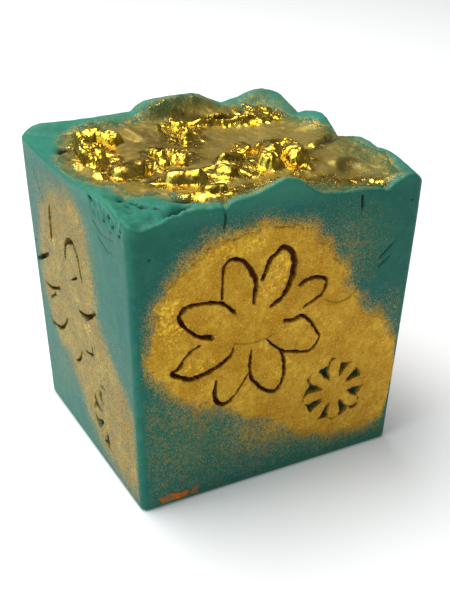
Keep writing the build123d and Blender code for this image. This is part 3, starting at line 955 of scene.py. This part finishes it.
def side_strip():
    """The four walls and the upright edges, as one sheet unrolled along the perimeter: points, triangles
    and how powdered each point is, how much groove gold it has, painted dark brown as gold in shade, and
    how much painted shade darkens it."""
    flat = [scatter((COLUMN, GRID * 0.6), (perimeter - COLUMN, FACE_HEIGHT - GRID * 0.6), GRID, 51)]
    for wall in WALLS:
        marks = mark_points(wall)
        s = to_perimeter(wall, marks[:, 0], marks[:, 1])
        flat.append(np.column_stack([s, wall_share(s, marks[:, 1])]))
    flat = np.vstack(flat)
    flat = flat[(flat[:, 1] > 0.3) & (flat[:, 1] < FACE_HEIGHT - 0.3)]
    flat = flat[(flat[:, 0] > 0.2) & (flat[:, 0] < perimeter - 0.2)]
    corner_rows = np.arange(1.0, FACE_HEIGHT, 1.0)
    for wall in WALLS:
        for k in range(1, 5):
            s = START[wall] + FLAT[wall] + QUARTER * k / 5
            if s < perimeter - 0.2:
                flat = np.vstack([flat, np.column_stack([np.full(len(corner_rows), s), corner_rows])])
    seam = np.arange(0, FACE_HEIGHT, 1.0)
    ring = np.append(columns, perimeter)
    edge = [np.column_stack([ring, np.full(len(ring), v)]) for v in (0.0, FACE_HEIGHT)]
    seams = [np.column_stack([np.full(len(seam) - 1, s), seam[1:]]) for s in (0.0, perimeter)]
    flat, tris = triangulate(np.vstack([flat, *edge, *seams]))
    s = flat[:, 0]
    up = BASE_ROUND + flat[:, 1] * (rim_z(s) - RIM_ROUND - BASE_ROUND) / FACE_HEIGHT
    index, share, turn = wall_of(s)
    out = np.zeros(len(s))
    cover = np.zeros(len(s))
    gilt_and_shade = np.zeros(len(s))
    dark = np.zeros(len(s))
    for k, wall in enumerate(WALLS):
        here = (index == k) & (turn == 0)
        half = SPAN[wall] / 2
        along = half + share[here] * (half - lean(up[here]) - corner(up[here]))
        relief, groove, recess, shade = wall_relief(wall, along, up[here])
        calm = smooth(0.0, 1.5, (1 - abs(share[here])) * half)
        calm = calm * smooth(0.0, 0.6, flat[here, 1]) * smooth(0.0, 0.6, FACE_HEIGHT - flat[here, 1])
        out[here] = relief * calm
        powder = dust_cover(wall, along, up[here])
        cover[here] = powder * smooth(-0.5, 0.1, recess)
        cut = smooth(0.04, -0.06, groove)
        gilded = smooth(0.1, 0.4, powder) * GROOVE_GILT[wall]
        # Painted shade: gold in a groove is painted dark brown, as gold in shade, and a bare groove, like
        # the recess, cracks and pits, near black teal.
        gilt_and_shade[here] = cut * gilded
        dark[here] = np.maximum(shade, cut * (1 - gilded))
    x, y, _, _ = wall_point(s, up, out)
    return np.column_stack([x, y, up]), tris, cover, gilt_and_shade, dark


def round_rows(first_up, radius, sign):
    """Quarter-round rows that turn the walls into the top (sign 1) or the base (sign -1)."""
    rows = []
    for a in np.radians([0, 22.5, 45, 67.5, 90]):
        up = first_up + sign * radius * math.sin(a)
        x, y, _, _ = wall_point(columns, up, 0.0, radius * (1 - math.cos(a)))
        rows.append(np.column_stack([x, y, up]))
    n = len(columns)
    faces = []
    for r in range(len(rows) - 1):
        for c in range(n):
            quad = [r * n + c, r * n + (c + 1) % n, (r + 1) * n + (c + 1) % n, (r + 1) * n + c]
            faces.append(quad if sign > 0 else quad[::-1])
    return np.vstack(rows), faces, rows[-1]


def cap(ring, interior, height):
    """A sheet across a ring of points, with those of these flat points that lie well inside it."""
    outline = np.vstack([ring, ring[:1]])[:, :2]
    interior = interior[outline_depth(*interior.T, outline) > 0.35]
    flat, tris = triangulate(np.vstack([ring[:, :2], interior]))
    lookup = {tuple(np.round(p, 5)): z for p, z in zip(ring[:, :2], ring[:, 2])}
    z = height(*flat.T)
    for i, p in enumerate(flat):
        z[i] = lookup.get(tuple(np.round(p, 5)), z[i])
    tris = tris[inside(*flat[tris].mean(1).T, outline)]
    return np.column_stack([flat, z]), tris


def weld(sheets):
    """Joins (points, faces, cover, gilt, dark) sheets into one mesh, merging points that coincide."""
    points = np.vstack([s[0] for s in sheets])
    _, first, inverse = np.unique(np.round(points, 4), axis=0, return_index=True, return_inverse=True)
    inverse = inverse.ravel()
    faces, start = [], 0
    for sheet in sheets:
        for face in sheet[1]:
            corners = [int(inverse[start + i]) for i in face]
            corners = [c for i, c in enumerate(corners) if c != corners[i - 1]]
            if len(set(corners)) > 2:
                faces.append(corners)
        start += len(sheet[0])
    values = [np.concatenate([s[k] for s in sheets])[first] for k in (2, 3, 4)]
    return points[first], faces, dict(zip(("cover", "gilt_and_shade", "dark"), values))


def zero(points):
    """A 0 for each point."""
    return np.zeros(len(points))


def plain(points, faces):
    """A sheet with no powder, groove gold or painted shade on it."""
    return points, faces, zero(points), zero(points), zero(points)


def build_block():
    side = side_strip()
    rim = round_rows(rim_z(columns) - RIM_ROUND, RIM_ROUND, 1)
    base = round_rows(np.full(len(columns), BASE_ROUND), BASE_ROUND, -1)
    fine = scatter((-HALF_X, -HALF_Y), (HALF_X, HALF_Y), 0.5, 53)
    coarse = scatter((-HALF_X, -HALF_Y), (HALF_X, HALF_Y), 1.2, 54)
    fine_depth, coarse_depth = rim_depth(*fine.T), rim_depth(*coarse.T)
    inner = np.vstack([fine[(fine_depth > 1.1) & (fine_depth < 9)], coarse[coarse_depth >= 9]])
    top_points, top_tris = cap(rim[2], inner, top_z)
    floor_points = scatter((-HALF_X, -HALF_Y), (HALF_X, HALF_Y), 4.0, 55)
    floor_points = floor_points[rim_depth(*floor_points.T) > 5]
    base_points, base_tris = cap(base[2], floor_points, lambda x, y: zero(x))
    rim_flat, top_flat = rim[0][:, :2].T, top_points[:, :2].T
    rim_cover = top_powder(*rim_flat) * smooth(0, 0.5, rim_depth(*rim_flat))
    sheets = [
        side,
        (rim[0], rim[1], rim_cover, zero(rim[0]), zero(rim[0])),
        plain(base[0], base[1]),
        (top_points, top_tris, top_powder(*top_flat), zero(top_points), top_painted_shade(*top_flat)),
        plain(base_points, base_tris[:, ::-1]),
    ]
    points, faces, attributes = weld(sheets)
    add_mesh("soap_block", points, faces, soap, attributes)


build_block()


# ---------------------------------------------------------------- powder films on the walls
FILM = 0.07  # how far the powder stands out of the soap
FILM_SEAT = 0.015  # the least that it stands out, away from its borders
FILM_ROOT = 0.25  # how deep its lower side is sunk
EDGE_SINK = 0.09  # how far a film's border dips into the soap, which is powdered like the film
SEAM_SINK = 0.1  # how far it dips under a neighbouring film
DAISY_PROUD = 0.004  # how far a daisy's film stands over the field's where both lie
LARGE_SEAM = 8.5  # radius of the seam between a wall's field and its large daisy's film
SMALL_SEAM = 7.1  # and its small daisy's film


def both_sides(looks):
    """Attributes of a closed sheet's upper points, repeated for its lower ones."""
    return {key: np.tile(values, 2) for key, values in looks.items()}


def film(name, wall, low, high, step, keep, cover_at, sink, material=wall_dust):
    """A closed film over the part of a wall that keep(along, up) says yes to. cover_at gives its grain
    cover, and sink how far it dips at its borders, under a neighbouring film or into the soap."""
    grooves = stroke_rows(LARGE_DAISIES[wall], (0.35, 0.05), 0.25)
    cracks = stroke_rows(CRACK_STROKES[wall], (0.3, 0.1), 0.25)
    flat = np.vstack([scatter(low, high, step, 61), grooves, cracks])
    flat = flat[((flat > low) & (flat < high)).all(1)]

    def upper(x, y):
        relief = wall_relief(wall, x, y)[0]
        thick = FILM * smooth(0.75, 1.0, cover_at(x, y)) + FILM_SEAT - sink(x, y)
        return on_wall(wall, x, y, relief + thick)

    def lower(x, y):
        relief = wall_relief(wall, x, y)[0]
        return on_wall(wall, x, y, relief - FILM_ROOT)

    points, faces, flat, skirt = closed_sheet(flat, 3 * step, keep, upper, lower)
    # Painted shade in the film's cracks and pits, as on the soap.
    dark = wall_relief(wall, *flat.T)[3]
    looks = {"cover": cover_at(*flat.T), "gleam": gleam(wall, *flat.T), "dark": dark}
    add_mesh(name, points, faces, material, both_sides(looks), skirt)


def build_dust(wall):
    """A wall's three powder films: round the daisies, inside the large one and on the small petals."""
    large = np.concatenate([s[:, :2] for s in LARGE_DAISIES[wall]]).mean(0)
    small = np.array(SMALL_DAISIES[wall][:2], float)
    film_from = 0.8 * min(DUST_FULL[wall], 1.0)

    def cover_at(x, y):
        return dust_cover(wall, x, y)

    def past_edge(x, y):
        return cover_at(x, y) - film_from - 0.1 * noise(x, y, 0.9, 65)

    def covered(x, y):
        groove = stroke_distance(x, y, LARGE_DAISIES[wall])
        return (past_edge(x, y) > 0) & (groove > 0.02) & (small_recess(wall, x, y) > 0.02)

    def distance(x, y, centre):
        return np.hypot(x - centre[0], y - centre[1])

    def edge_sink(x, y):
        return EDGE_SINK * smooth(0.12, 0.0, past_edge(x, y))

    def field(x, y):
        clear_of_large = distance(x, y, large) > LARGE_SEAM - 0.5
        return covered(x, y) & clear_of_large & (distance(x, y, small) > SMALL_SEAM - 0.5)

    def field_sink(x, y):
        by_large = smooth(LARGE_SEAM, LARGE_SEAM - 0.4, distance(x, y, large))
        by_small = smooth(SMALL_SEAM, SMALL_SEAM - 0.4, distance(x, y, small))
        return np.maximum(edge_sink(x, y), SEAM_SINK * np.maximum(by_large, by_small))

    def daisy_film(name, centre, seam, half, step):
        """The film over the daisy at centre, within half of it along and up."""
        def keep(x, y):
            return covered(x, y) & (distance(x, y, centre) < seam + 0.7)

        def sink(x, y):
            dip = SEAM_SINK * smooth(seam + 0.1, seam + 0.6, distance(x, y, centre))
            return np.maximum(edge_sink(x, y), dip) - DAISY_PROUD

        film(name, wall, centre - half, centre + half, step, keep, cover_at, sink)

    low, high = dust_lines[wall].min(0) - 3, dust_lines[wall].max(0) + 3
    low, high = np.maximum(low, 2.2), np.minimum(high, [SPAN[wall] - 2.2, 60.5])
    film(f"{wall}_dust_field", wall, low, high, 0.5, field, cover_at, field_sink)
    daisy_film(f"{wall}_daisy_gilding", large, LARGE_SEAM, 18, 0.5)
    daisy_film(f"{wall}_small_daisy_gilding", small, SMALL_SEAM, 8.5, 0.3)


for wall in WALLS:
    build_dust(wall)


def smear(x, y):
    """The copper smear's ragged patch, low on the front wall."""
    ragged = ((x - 10.7) / 5.6) ** 2 + ((y - 1.7) / 1.3) ** 2 + 0.7 * rough(x, y, 1.6, 64)
    return ragged < 0.75


def smear_cover(x, y):
    return 0.8 + 0.3 * noise(x, y, 1.2, 66)


def smear_sink(x, y):
    return np.zeros(len(x))


film("copper_smear", "front", (3, BASE_ROUND), (18, 4.5), 0.35, smear, smear_cover, smear_sink,
     copper_dust)


# ---------------------------------------------------------------- gold on the top
PATCH_ROOT = 0.8  # how deep the lower side of a lump or the skin is sunk


def top_patch(name, low, high, step, keep, rise, material, looks):
    """A closed lump or skin on the top, rise(x, y) over the soap. looks gives its attributes."""
    flat = scatter(low, high, step, 71)
    flat = flat[rim_depth(*flat.T) > 0.9]

    def upper(x, y):
        return np.column_stack([x, y, top_z(x, y) + rise(x, y)])

    def lower(x, y):
        return np.column_stack([x, y, top_z(x, y) - PATCH_ROOT])

    points, faces, flat, skirt = closed_sheet(flat, 3 * step, keep, upper, lower)
    attributes = {key: value(*flat.T) for key, value in looks.items()}
    add_mesh(name, points, faces, material, both_sides(attributes), skirt)


def skin_margin(x, y):
    """How far points lie inside the skin's ragged edge."""
    return outline_depth(x, y, skin_line) + 0.6 * rough(x, y, 2.0, 72) + 0.3 * noise(x, y, 0.8, 76)


def skin_keep(x, y):
    return skin_margin(x, y) > 0


# Where the skin crumpled and shines: X, Y, half length, half breadth, angle, share.
GLOSSY = [
    (-21.5, 12.0, 9.0, 3.6, 80, 1.0), (0.5, 15.5, 6.5, 3.6, 65, 1.0), (-9.0, 1.5, 4.6, 5.0, 0, 1.0),
    (9.0, -8.0, 5.0, 8.0, 0, 1.0), (-3.0, -13.0, 4.5, 3.0, -20, 1.0), (23.0, 21.5, 4.2, 5.0, -40, 1.0),
    (12.0, 20.2, 9.0, 1.6, -12, 0.9), (-13.0, -14.0, 6.0, 3.6, -20, 0.9), (3.0, -25.0, 16.0, 3.4, 0, 1.0),
    (-10.0, -22.5, 6.0, 2.6, -30, 0.9), (-20.0, -3.0, 6.0, 4.0, 0, 0.8), (21.0, -7.0, 5.0, 1.4, 32, 0.6),
    (2.0, 27.0, 8.0, 2.0, -10, 0.6), (-27.0, 2.0, 7.0, 1.5, -75, 0.5), (20.0, -23.0, 4.0, 3.0, 0, 0.5),
]
# Where it is painted dark, as painted shade: trenches and shaded hollows.
DARK = [
    (11.5, 21.6, 5.0, 0.5, -22, 0.65), (-15.8, -3.0, 4.4, 0.7, 65, 0.9),
    (-18.8, 15.4, 2.6, 0.8, 100, 0.8), (2.5, -9.2, 3.4, 0.9, -50, 0.7), (-9.5, 12.5, 5.0, 4.0, -10, 0.35),
    (20.5, -18.4, 3.4, 1.0, 25, 0.3), (22.5, -7.2, 4.6, 0.6, 32, 0.6), (-26.0, 4.0, 5.5, 0.8, -72, 0.55),
    (-9.5, 7.6, 3.8, 0.9, -10, 0.6),
]


def zone(zones, x, y):
    """The strongest of some patches at each point, with ragged edges."""
    wobble = 1 + 0.35 * rough(x, y, 2.0, 77)
    patches = [w * np.minimum(1.6 * bell(x, y, cx, cy, a, b, turn), 1) for cx, cy, a, b, turn, w in zones]
    return np.clip(wobble * np.max(patches, axis=0), 0, 1)


def skin_gloss(x, y):
    return smooth(0.35, 0.75, zone(GLOSSY, x, y))


# Painted shade over the skin's trenches, hollows and holes.
def skin_painted_shade(x, y):
    return np.maximum(zone(DARK, x, y), top_painted_shade(x, y))


def skin_thin(x, y):
    """How thin the skin is over the soap: most at its torn edge and along the front rim."""
    edge = smooth(3.2, 0.0, outline_depth(x, y, skin_line) + 0.9 * rough(x, y, 1.6, 78))
    front = smooth(-21.5, -26.0, y + 2.0 * noise(x, y, 5.0, 79)) * 0.75 * smooth(16.0, 8.0, x)
    back = 0.7 * smooth(22.0, 27.0, y - 0.1 * x)
    left = 0.5 * bell(x, y, -27.5, 18.0, 3.5, 6.0)
    right = 0.5 * bell(x, y, 27.5, -14.0, 4.5, 10.0)
    return np.maximum.reduce([edge * 0.9, front, back, left, right])


def skin_rise(x, y):
    foil = skin_gloss(x, y) * (0.45 * (creased(x, y, 2.6, 80) - 0.7) + 0.2 * rough(x, y, 1.0, 81))
    return 0.14 + 0.04 * rough(x, y, 1.4, 73) + 0.6 * foil - 0.35 * smooth(0.7, 0.0, skin_margin(x, y))


top_patch("gold_top_skin", (-31, -28), (31, 28), 0.36, skin_keep, skin_rise, skin_gold,
          {"gloss": skin_gloss, "dark": skin_painted_shade, "thin": skin_thin})

# Gold lumps: how crumpled, the size of the crumples, the material, and rolls of (half width, rise, path).
GOLD_LUMPS = {
    "gold_crumple_left": (0.7, 2.0, bright_gold, [
        (1.9, 2.2, [(-24.6, 4.0), (-23.6, 11.0), (-21.9, 18.6)]),
        (1.8, 1.9, [(-21.6, 19.2), (-18.0, 19.8), (-15.4, 15.8)]),
        (1.6, 1.6, [(-20.4, 14.0), (-21.6, 8.0)]),
    ]),
    "gold_pool_left": (0.05, 3.5, smooth_gold, [
        (3.1, 2.3, [(-21.6, -2.8), (-18.6, -1.6), (-17.0, -1.6)]),
    ]),
    "gold_crumple_centre": (0.8, 3.0, bright_gold, [
        (2.2, 1.8, [(8.0, 3.0), (6.0, -1.5)]),
        (2.6, 2.8, [(9.8, -3.4), (8.0, -9.0), (5.0, -14.6)]),
        (2.4, 2.2, [(12.6, -3.6), (12.8, -9.0), (11.0, -14.0)]),
    ]),
    "gold_crumple_rear": (0.6, 1.4, bright_gold, [
        (2.4, 0.6, [(20.4, 18.2), (22.2, 20.2), (23.2, 21.2)]),
        (0.9, 0.5, [(5.0, 21.0), (12.0, 19.8), (19.0, 18.2)]),
    ]),
    "gold_nuggets_middle": (0.7, 1.3, bright_gold, [
        (1.5, 1.5, [(0.6, 20.6), (1.4, 19.6)]), (1.5, 1.5, [(1.2, 15.4), (0.6, 14.0)]),
        (1.2, 1.1, [(-1.4, 10.8), (-1.8, 9.2)]), (1.4, 1.3, [(-11.4, 4.2), (-10.8, 2.6)]),
        (1.3, 1.2, [(-8.0, 4.6), (-7.4, 3.4)]), (1.5, 1.4, [(-8.6, -0.6), (-8.0, -2.0)]),
        (1.2, 1.2, [(-12.0, -1.0), (-12.4, -2.6)]),
    ]),
    "gold_nuggets_front": (0.1, 2.4, smooth_gold, [
        (2.3, 2.3, [(-15.0, -12.2), (-13.0, -12.8), (-11.0, -14.0)]),
        (1.9, 1.5, [(-5.2, -13.4), (-4.0, -14.4)]),
        (1.9, 1.7, [(-2.6, -8.8), (0.0, -9.4)]),
        (1.5, 1.2, [(-11.4, -19.4), (-9.2, -20.0)]),
    ]),
}


def build_lumps(name, crumple, size, material, rolls):
    """The lumps of one node: rounded rolls, crumpled by that much in folds of that size."""
    def dome(x, y):
        """Rise of the rounded lumps, and below 0 outside them."""
        best = np.full(np.shape(x), -9.0)
        for radius, rise, path in rolls:
            stroke = np.column_stack([np.array(path, float), np.full(len(path), 2 * radius)])
            depth = -stroke_distance(x, y, [stroke]) + 0.16 * radius * crumple * rough(x, y, 1.5, 74)
            share = np.clip(depth / radius, -1, 1)
            round_top = rise * np.sqrt(np.maximum(share * (2 - share), 0))
            best = np.maximum(best, np.where(share > 0, round_top, 4 * share))
        return best

    def rise(x, y):
        lift = np.maximum(dome(x, y), 0)
        facets = creased(x * 0.88 - y * 0.47, (x * 0.47 + y * 0.88) * 0.6, size, 75) - 0.8
        folds = 0.45 * facets + 0.3 * rough(x, y, size * 0.8, 83) + 0.07 * rough(x, y, 0.8, 82)
        return 0.1 + lift + crumple * np.minimum(lift, 1.4) * folds

    def near(x, y):
        return dome(x, y) > -0.5

    points = np.array([p for _, _, path in rolls for p in path])
    low, high = points.min(0) - 5, points.max(0) + 5
    top_patch(name, low, high, 0.22, near, rise, material, {})


for name, (crumple, size, material, rolls) in GOLD_LUMPS.items():
    build_lumps(name, crumple, size, material, rolls)


# ---------------------------------------------------------------- floor, light and camera
def make_floor():
    """A plain white floor."""
    mesh = bpy.data.meshes.new("floor")
    size = 3.0  # metres
    corners = [(-size, -size, 0), (size, -size, 0), (size, size, 0), (-size, size, 0)]
    mesh.from_pydata(corners, [], [(0, 1, 2, 3)])
    obj = bpy.data.objects.new("floor", mesh)
    bpy.context.scene.collection.objects.link(obj)
    m = Nodes("white floor")
    m.set(Base_Color=(0.95, 0.95, 0.95, 1), Roughness=1.0, Specular_IOR_Level=0.0)
    m.set(Emission_Color=(1, 1, 1, 1), Emission_Strength=0.12)
    mesh.materials.append(m.material)


def area_light(name, place, target, size, power, colour=(1, 1, 1)):
    """A soft box at place, in metres, that faces target."""
    light = bpy.data.lights.new(name, "AREA")
    light.shape = "RECTANGLE"
    light.size, light.size_y = size
    light.energy = power
    light.color = colour
    obj = bpy.data.objects.new(name, light)
    obj.location = place
    obj.rotation_euler = (Vector(target) - Vector(place)).to_track_quat("-Z", "Y").to_euler()
    bpy.context.scene.collection.objects.link(obj)


make_floor()
area_light("window", (-0.8, -0.05, 0.42), (0, 0, 0.04), (0.6, 0.5), 1.8, (0.62, 0.93, 1.0))
area_light("overhead", (-0.2, 0.2, 0.85), (0, 0.05, 0), (0.8, 0.6), 9.6)

world = bpy.data.worlds.new("studio")
world.use_nodes = True
world.node_tree.nodes["Background"].inputs["Color"].default_value = (1, 1, 1, 1)
world.node_tree.nodes["Background"].inputs["Strength"].default_value = 0.13
bpy.context.scene.world = world
bpy.context.scene.view_settings.view_transform = "Standard"

camera = bpy.data.cameras.new("camera")
camera.lens = 61.68
camera.sensor_width = 36
camera_object = bpy.data.objects.new("camera", camera)
right = Vector((0.88180, -0.47152, 0.00994))
above = Vector((0.20340, 0.39924, 0.89400))
toward = right.cross(above)
turn = Matrix((right, above, toward)).transposed().to_4x4()
camera_object.matrix_world = Matrix.Translation(Vector((-93.80, -178.57, 130.15)) * MM) @ turn
bpy.context.scene.collection.objects.link(camera_object)
bpy.context.scene.camera = camera_object
